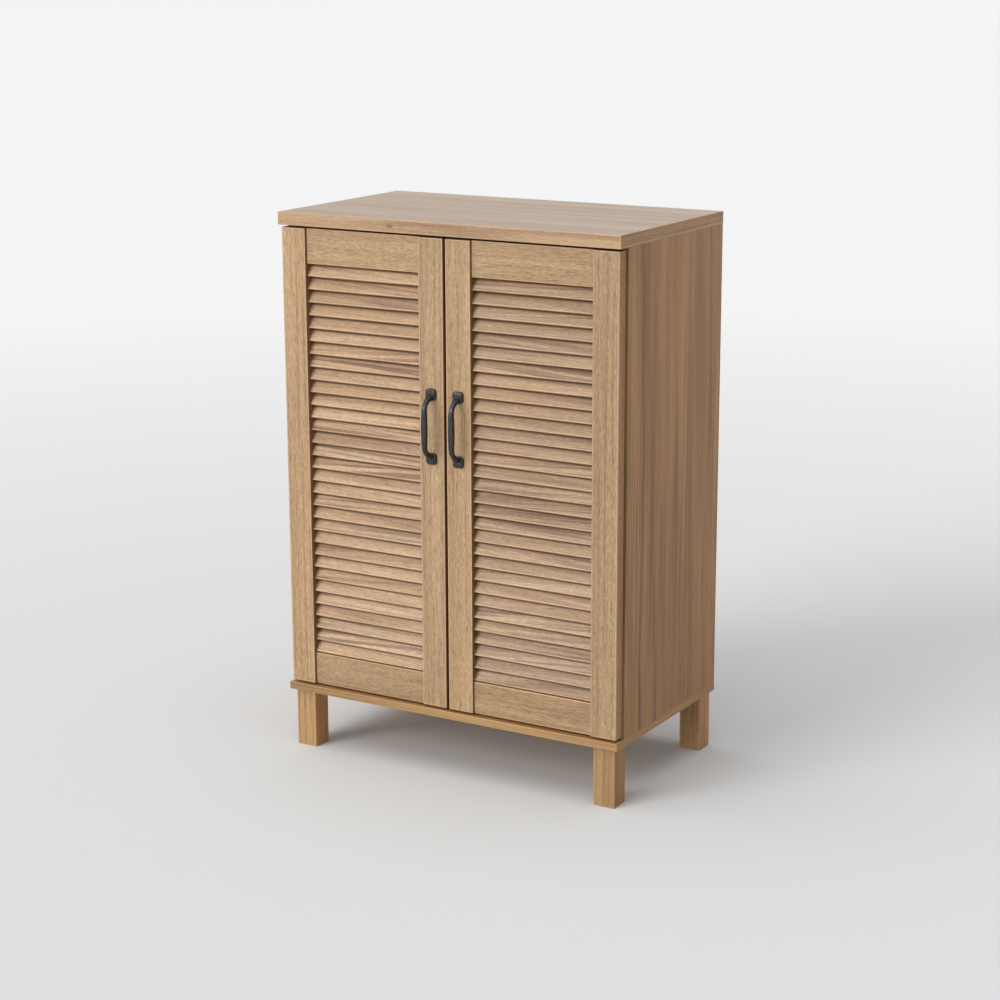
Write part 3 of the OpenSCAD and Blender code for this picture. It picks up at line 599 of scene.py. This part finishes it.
def makeBoard(nodeName, along, rounding, seed, holes=(), tone=None, paintedShadeWhere=()):
    # for each side darkened with painted shade: (axis, direction, depth of the painted shade)
    low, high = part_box(nodeName)
    block = roundedBlock(low, high, rounding)
    mesh = bpy.data.meshes.new(nodeName + "Wood")
    block.to_mesh(mesh)
    block.free()
    if holes:
        mesh = cutHoles(mesh, holes)
    setGrain(mesh, along, seed, low, high, tone)
    if paintedShadeWhere:
        storeLayer(mesh, "paintedShade", "FLOAT", [
            max((depth for axis, way, depth in paintedShadeWhere if face.normal[axis] * way > 0.6), default=0.0)
            for face in mesh.polygons], "FACE")
    name = "".join(w.capitalize() if i else w for i, w in enumerate(nodeName.split("_")))
    slotName = slotOf(nodeName)
    piece = addPiece(name, mesh, woodMaterials[slotName], bodyOf(nodeName), [nodeName])
    finishShading(piece)
    return piece


def solidBoxes(nodeName):
    # The boxes of the separate solids in one CAD node
    solids = bmesh.new()
    solids.from_mesh(cadNodes[nodeName].data)
    bmesh.ops.remove_doubles(solids, verts=solids.verts[:], dist=1e-6)
    boxes, seen = [], set()
    for vert in solids.verts:
        if vert in seen:
            continue
        stack, members = [vert], []
        seen.add(vert)
        while stack:
            current = stack.pop()
            members.append(current.co.copy())
            for edge in current.link_edges:
                other = edge.other_vert(current)
                if other not in seen:
                    seen.add(other)
                    stack.append(other)
        boxes.append((Vector([min(p[i] for p in members) for i in range(3)]),
                      Vector([max(p[i] for p in members) for i in range(3)])))
    solids.free()
    return boxes


# The case: boards, panels, shelves and legs
caseBoards = {
    "topRounding": 1.1 * mm,
    "baseRounding": 0.9 * mm,
    "panelRounding": 0.8 * mm,
    "shelfRounding": 0.8 * mm,
    "legRounding": 1.4 * mm,
    "backRounding": 0.3 * mm,
    "boltHeadDepth": 2.7 * mm,
    "legTones": (1.0, 0.1, 0.6, 0.9),   # front left, front right, rear left, rear right
    "pinHoleRadius": 2.55 * mm,
    "pinHoleDepth": 9.1 * mm,
    "pinHoleStep": 25 * mm,
    "spareHolesEachWay": 2,
    "streakY": -84 * mm,     # a dark streak down each side panel
    "camHoleRadius": 7.5 * mm,
    "boltHeadHoleRadius": 6 * mm,
}

camBoxes = solidBoxes("cam_locks")
pinBoxes = solidBoxes("shelf_pins")
boltBoxes = solidBoxes("leg_bolts")


def camHoles(axis, inside):
    index = "xyz".index(axis)
    holes = []
    for low, high in camBoxes:
        size = high - low
        flattest = min(range(3), key=lambda i: size[i])
        center = (low + high) / 2
        if flattest == index and inside(center):
            holes.append((axis, center, caseBoards["camHoleRadius"], size[index] + 2 * mm))
    return holes


def panelHoles(side):
    low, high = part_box(side + "_side_panel")
    sign = 1 if side == "right" else -1
    face = low.x if sign > 0 else high.x
    holes = camHoles("x", lambda c: low.x < c.x < high.x)
    for pinLow, pinHigh in pinBoxes:
        center = (pinLow + pinHigh) / 2
        if center.x * sign < 0:
            continue
        for step in range(-caseBoards["spareHolesEachWay"], caseBoards["spareHolesEachWay"] + 1):
            z = (pinHigh.z + pinLow.z) / 2 + step * caseBoards["pinHoleStep"]
            depth = caseBoards["pinHoleDepth"]
            holes.append(("x", (face + sign * (depth / 2 - 1 * mm), center.y, z),
                          caseBoards["pinHoleRadius"], depth + 2 * mm))
    return holes


makeBoard("top_board", "x", caseBoards["topRounding"], 11, tone=0.5)
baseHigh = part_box("base_board")[1]
headHoles = [("z", ((a.x + b.x) / 2, (a.y + b.y) / 2, baseHigh.z), caseBoards["boltHeadHoleRadius"],
              2 * (baseHigh.z - (b.z - caseBoards["boltHeadDepth"]))) for a, b in boltBoxes]
makeBoard("base_board", "x", caseBoards["baseRounding"], 27, headHoles, tone=0.75)
for side, seed in (("left", 31), ("right", 38)):
    panel = makeBoard(side + "_side_panel", "z", caseBoards["panelRounding"], seed, panelHoles(side),
                      tone=0.4)
    storeLayer(panel.data, "streakFrom", "FLOAT",
               [streakOrigin + vert.co.y - caseBoards["streakY"] for vert in panel.data.vertices])
makeBoard("back_panel", "z", caseBoards["backRounding"], 44, tone=0.5)
shelfLow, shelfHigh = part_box("fixed_shelf")
makeBoard("fixed_shelf", "x", caseBoards["shelfRounding"], 51,
          camHoles("z", lambda c: shelfLow.z < c.z < shelfHigh.z), tone=0.6)
for index, name in enumerate(("lower_shelf", "middle_shelf", "upper_shelf")):
    makeBoard(name, "x", caseBoards["shelfRounding"], 61 + index)
for index, name in enumerate(("front_left_leg", "front_right_leg", "rear_left_leg", "rear_right_leg")):
    makeBoard(name, "z", caseBoards["legRounding"], 71 + index, tone=caseBoards["legTones"][index])
print("case boards ready")


# The doors: frames and slats
doorBoards = {
    "stileRounding": 1.5 * mm,
    "railRounding": 0.7 * mm,
    "cupRadius": 17.6 * mm,
    "cupDepth": 12.4 * mm,
    "cupInset": 19 * mm,     # from the edge of the cup's flange to the middle of its bore
    "slatSidePaintedShade": 0.85,   # painted shade on the stiles' sides between the slats' ends
    "gapPaintedShade": 0.8,         # painted shade on the sides that face the other door
    "upperEndPaintedShade": 0.85,   # painted shade on the upper ends of the stiles and the top of the rail
}
slats = {
    "count": 31,
    "thickness": 4.5 * mm,
    "chord": 21.5 * mm,
    "tilt": 30,              # degrees from upright
    "nose": 5 * mm,          # lower edge behind the stiles' face
    "tenon": 4.4 * mm,
    "endGap": 0.35 * mm,
    "rounding": 1.1 * mm,
    "rubAndHighlightWidth": 1.2 * mm,    # how far the pale arris mark, partly wear and partly a painted highlight, reaches in from the arrises
    "grainSlant": 4,         # the grain runs off by up to this many degrees
    "toneSpread": 0.24,
    "paintedShadeFrom": 15.6 * mm,  # up the slat's face, where painted shade starts under the next slat
    "paintedShadeTo": 17.4 * mm,
}


def makeSlats(side, seed, meanTone):
    stileLow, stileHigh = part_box(side + "_door_hinge_stile")
    meetLow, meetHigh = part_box(side + "_door_meeting_stile")
    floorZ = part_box(side + "_door_bottom_rail")[1].z
    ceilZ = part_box(side + "_door_top_rail")[0].z
    left = min(stileHigh.x, meetHigh.x) - slats["tenon"]
    right = max(stileLow.x, meetLow.x) + slats["tenon"]
    tilt = math.radians(slats["tilt"])
    rise = slats["chord"] * math.cos(tilt) + slats["thickness"] * math.sin(tilt)
    pitch = (ceilZ - floorZ - rise - 2 * slats["endGap"]) / (slats["count"] - 1)
    firstZ = floorZ + slats["endGap"] + slats["thickness"] * math.sin(tilt)
    frontY = stileLow.y + slats["nose"]
    dice = random.Random(seed)
    whole = bmesh.new()
    places, tones, paintedGrooveShade = [], [], []
    for index in range(slats["count"]):
        one = roundedBlock(Vector((left, 0, 0)), Vector((right, slats["thickness"], slats["chord"])),
                           slats["rounding"], slats["rubAndHighlightWidth"])
        # Painted shade on the strip of each slat's face just under the next slat
        for height in (slats["paintedShadeFrom"], slats["paintedShadeTo"]):
            bmesh.ops.bisect_plane(one, geom=one.verts[:] + one.edges[:] + one.faces[:], dist=1e-7,
                                   plane_co=(0, 0, height), plane_no=(0, 0, 1))
        paintedGrooveShade += [float(v.co.z > slats["paintedShadeTo"] - 1e-5) for v in one.verts]
        turn = Matrix.Translation((0, frontY, firstZ + index * pitch)) @ Matrix.Rotation(-tilt, 4, "X")
        shift = Vector((dice.uniform(-40, 40), dice.uniform(-40, 40), dice.uniform(-40, 40)))
        tone = meanTone + dice.uniform(-1, 1) * slats["toneSpread"]
        slant = Matrix.Rotation(math.radians(dice.uniform(-1, 1) * slats["grainSlant"]), 3, "Y")
        places += [c for v in one.verts for c in slant @ v.co + shift]
        tones += [tone] * len(one.verts)
        bmesh.ops.transform(one, matrix=turn, verts=one.verts[:])
        part = bpy.data.meshes.new("oneSlat")
        one.to_mesh(part)
        one.free()
        whole.from_mesh(part)
        bpy.data.meshes.remove(part)
    mesh = bpy.data.meshes.new(side + "DoorSlats")
    whole.to_mesh(mesh)
    whole.free()
    storeLayer(mesh, "grainPosition", "FLOAT_VECTOR", places)
    storeLayer(mesh, "boardTone", "FLOAT", tones)
    storeLayer(mesh, "paintedShade", "FLOAT", paintedGrooveShade)
    piece = addPiece(side + "DoorSlats", mesh, woodMaterials["slat_wood"], side + "_door",
                     [side + "_door_slats"])
    finishShading(piece)
    return piece


def cupHoles(side):
    holes = []
    for level in ("upper", "lower"):
        low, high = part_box(f"{level}_{side}_hinge_cup")
        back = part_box(side + "_door_hinge_stile")[1].y
        sign = 1 if side == "right" else -1
        centerX = (low.x if sign > 0 else high.x) + sign * doorBoards["cupInset"]
        holes.append(("y", (centerX, back, (low.z + high.z) / 2), doorBoards["cupRadius"],
                      2 * doorBoards["cupDepth"]))
    return holes


# tones, 0 dark to 1 pale: hinge stile, meeting stile, top rail, bottom rail, slats
doorTones = {
    "left": (0.85, 0.54, 0.66, 0.42, 0.85),
    "right": (0.38, 0.7, 0.56, 0.5, 0.5),
}
for side, seed in (("left", 100), ("right", 200)):
    door = side + "_door_"
    hinge, meeting, top, bottom, slatTone = doorTones[side]
    toMiddle = 1 if side == "left" else -1
    upper = (2, 1, doorBoards["upperEndPaintedShade"])
    makeBoard(door + "hinge_stile", "z", doorBoards["stileRounding"], seed + 1, cupHoles(side), hinge,
              [upper, (0, toMiddle, doorBoards["slatSidePaintedShade"])])
    makeBoard(door + "meeting_stile", "z", doorBoards["stileRounding"], seed + 2, tone=meeting,
              paintedShadeWhere=[upper, (0, -toMiddle, doorBoards["slatSidePaintedShade"]),
                       (0, toMiddle, doorBoards["gapPaintedShade"])])
    makeBoard(door + "top_rail", "x", doorBoards["railRounding"], seed + 3, tone=top, paintedShadeWhere=[upper])
    makeBoard(door + "bottom_rail", "x", doorBoards["railRounding"], seed + 4, tone=bottom)
    makeSlats(side, seed + 5, slatTone)
print("doors ready")


# The cast handles; numbers are in millimetres.
pull = {
    "gripPath": [        # height from the middle, reach from the door, half width, half depth
        (46.0, 1.0, 5.4, 4.6), (45.6, 4.4, 4.9, 4.1), (44.6, 7.8, 4.2, 3.7), (42.6, 11.6, 3.6, 3.4),
        (39.6, 15.4, 3.3, 3.2), (35.4, 18.8, 3.2, 3.2), (30.0, 20.8, 3.5, 3.3),
        (22.0, 21.3, 3.95, 3.4), (12.0, 21.4, 4.3, 3.45), (0.0, 21.4, 4.45, 3.5),
    ],
    "squareness": 0.4,   # 1 is round, 0 is a sharp square
    "footHalf": 9.0,
    "footCenter": 50.0,
    "dimple": 0.35,
    "footProfile": [     # share of the foot's width, and height off the door
        (1.0, 0.0), (1.0, 2.2), (0.985, 3.1), (0.94, 3.8), (0.86, 4.25), (0.74, 4.5), (0.6, 4.6),
        (0.45, 4.65), (0.3, 4.7), (0.14, 4.72),
    ],
    "gripSteps": 84,
    "gripCorners": 28,
    "footCorners": 40,
    "reachLimit": 5.1,   # the highest that a dimple's rim may stand on a foot
}


def smoothPath(points, count):
    # Catmull-Rom through the points, sampled evenly
    whole = [Vector(p) for p in points] + [Vector((-p[0], *p[1:])) for p in reversed(points[:-1])]
    sampled = []
    spans = len(whole) - 1
    for step in range(count + 1):
        t = step / count * spans
        i = min(int(t), spans - 1)
        t -= i
        a, b, c, d = (whole[max(i - 1, 0)], whole[i], whole[i + 1], whole[min(i + 2, spans)])
        sampled.append(0.5 * ((2 * b) + (c - a) * t + (2 * a - 5 * b + 4 * c - d) * t * t
                              + (3 * b - a - 3 * c + d) * t ** 3))
    return sampled


def hammered(point, amount):
    # Shallow round dimples left by a hammer
    distances = noise.voronoi(point * 0.26)[0]
    return amount * (min(distances[0] * 1.6, 1.0) - 0.6)


def makeHandle(side):
    low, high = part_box(side + "_handle")
    centerX, centerZ = (low.x + high.x) / 2, (low.z + high.z) / 2
    doorY = high.y
    shape = bmesh.new()

    def place(across, reach, height):
        return Vector((centerX + across * mm, doorY - reach * mm, centerZ + height * mm))

    path = smoothPath(pull["gripPath"], pull["gripSteps"])
    rings, around = [], pull["gripCorners"]
    for index, point in enumerate(path):
        before, after = path[max(index - 1, 0)], path[min(index + 1, len(path) - 1)]
        along = Vector((after[0] - before[0], after[1] - before[1])).normalized()
        normal = Vector((along.y, -along.x))
        if normal.y < 0:
            normal = -normal
        ring = []
        for turn in range(around):
            angle = 2 * math.pi * turn / around
            c, s = math.cos(angle), math.sin(angle)
            wide = point[2] * math.copysign(abs(c) ** pull["squareness"], c)
            deep = point[3] * math.copysign(abs(s) ** pull["squareness"], s)
            raw = Vector((wide, point[0] + normal.x * deep, point[1] + normal.y * deep))
            push = hammered(raw, pull["dimple"] * 0.7)
            wide += push * c
            deep += push * s
            ring.append(shape.verts.new(place(
                wide, max(point[1] + normal.y * deep, 0.2), point[0] + normal.x * deep)))
        rings.append(ring)
    for first, second in zip(rings, rings[1:]):
        for turn in range(around):
            other = (turn + 1) % around
            shape.faces.new((first[turn], first[other], second[other], second[turn]))
    shape.faces.new(rings[0])
    shape.faces.new(list(reversed(rings[-1])))

    # feet: rounded squares with a soft, hammered face
    corners = pull["footCorners"]
    for end in (-1, 1):
        footRings = []
        for share, reach in pull["footProfile"]:
            ring = []
            for turn in range(corners):
                angle = 2 * math.pi * turn / corners
                c, s = math.cos(angle), math.sin(angle)
                power = 0.52 + 0.3 * (1 - share)
                x = pull["footHalf"] * share * math.copysign(abs(c) ** power, c)
                z = pull["footHalf"] * share * math.copysign(abs(s) ** power, s)
                lift = hammered(Vector((x, z + end * 90 + (0 if side == "left" else 300), 0)),
                                pull["dimple"] * 2.0) if share < 0.99 else 0
                ring.append(shape.verts.new(place(
                    x, min(reach + lift, pull["reachLimit"]), end * pull["footCenter"] + z)))
            footRings.append(ring)
        for first, second in zip(footRings, footRings[1:]):
            for turn in range(corners):
                other = (turn + 1) % corners
                shape.faces.new((first[turn], first[other], second[other], second[turn]))
        shape.faces.new(footRings[-1])
        shape.faces.new(list(reversed(footRings[0])))
    bmesh.ops.recalc_face_normals(shape, faces=shape.faces[:])
    mesh = bpy.data.meshes.new(side + "Handle")
    shape.to_mesh(mesh)
    shape.free()
    for face in mesh.polygons:
        face.use_smooth = True
    mesh.set_sharp_from_angle(angle=math.radians(50))
    return addPiece(side + "Handle", mesh, metalMaterials["handle_iron"], side + "_door",
                    [side + "_handle"])


for side in ("left", "right"):
    makeHandle(side)
print("handles ready")


# The CAD nodes that stay get finishes only.
plainWood = makeWood("dowel_wood", ownPosition=False)
for nodeName, node in cadNodes.items():
    slotName = slotOf(nodeName)
    finish = plainWood if slotName == "dowel_wood" else metalMaterials.get(slotName)
    if finish is None:
        finish = woodMaterials[slotName]
    node.data.materials.clear()
    node.data.materials.append(finish)
print("CAD finishes ready")


# Floor and light
studio = {
    # Painted light: the floor runs from darker near the cabinet to paler far off, standing in for a
    # brighter background
    "floorNear": (0.67, 0.68, 0.69),
    "floorFar": (0.82, 0.83, 0.84),
    "floorFade": (1.0, 4.5),         # metres from the cabinet
    "skyColor": (0.98, 0.99, 1.0),
    "skyStrength": 0.34,
    "backdropColor": (0.90, 0.90, 0.90),
    "backdropInGloss": 0.8,
    "lightColor": (1, 0.985, 0.96),
}
# strength, apparent size, height above the horizon and degrees to the left of straight in front
suns = {
    "windowLight": (2.0, 36, 22, 24),
    "ceilingLight": (1.7, 70, 78, 30),
}

floorShape = bmesh.new()
bmesh.ops.create_circle(floorShape, cap_ends=True, segments=96, radius=40)
floorMesh = bpy.data.meshes.new("studioFloor")
floorShape.to_mesh(floorMesh)
floorShape.free()
floor = bpy.data.objects.new("studioFloor", floorMesh)
scene.collection.objects.link(floor)
floorMaterial = bpy.data.materials.new("paleFloor")
floorMaterial.use_nodes = True
floorTree = floorMaterial.node_tree
floorShader = floorTree.nodes["Principled BSDF"]
floorPlace = addNode(floorTree, "ShaderNodeTexCoord", -900, 0)
floorCenter = addNode(floorTree, "ShaderNodeVectorMath", -700, 0, operation="LENGTH")
floorTree.links.new(floorPlace.outputs["Object"], floorCenter.inputs[0])
# Painted light: the floor's colour is darker near the cabinet and paler far from it
floorPaintedLight = mixColors(floorTree, -300, 0, remap(floorTree, -500, 0, floorCenter.outputs["Value"],
                                                *studio["floorFade"]),
                      (*studio["floorNear"], 1), (*studio["floorFar"], 1))
floorTree.links.new(floorPaintedLight, floorShader.inputs["Base Color"])
setInputs(floorShader, Specular_IOR_Level=0.0)
floorMesh.materials.append(floorMaterial)

world = bpy.data.worlds.new("studioWorld")
scene.world = world
world.use_nodes = True
sky = world.node_tree
skyLight = setInputs(sky.nodes["Background"], Color=(*studio["skyColor"], 1),
                     Strength=studio["skyStrength"])
backdrop = setInputs(addNode(sky, "ShaderNodeBackground", 0, -200), Color=(*studio["backdropColor"], 1))
seen = addNode(sky, "ShaderNodeLightPath", 0, 300)
skyMix = addNode(sky, "ShaderNodeMixShader", 250, 0)
sky.links.new(mathNode(sky, "ADD", 150, 300, seen.outputs["Is Camera Ray"],
                       mathNode(sky, "MULTIPLY", 50, 400, seen.outputs["Is Glossy Ray"],
                                studio["backdropInGloss"]), True), skyMix.inputs[0])
sky.links.new(skyLight.outputs[0], skyMix.inputs[1])
sky.links.new(backdrop.outputs[0], skyMix.inputs[2])
sky.links.new(skyMix.outputs[0], sky.nodes["World Output"].inputs[0])

for name, (strength, spread, height, side) in suns.items():
    sunData = bpy.data.lights.new(name, "SUN")
    sunData.energy, sunData.angle = strength, math.radians(spread)
    sunData.color = studio["lightColor"]
    sun = bpy.data.objects.new(name, sunData)
    scene.collection.objects.link(sun)
    sun.rotation_euler = (math.radians(90 - height), 0, -math.radians(side))
scene.view_settings.view_transform = "Standard"
scene.view_settings.look = "None"
print("floor and lights ready")
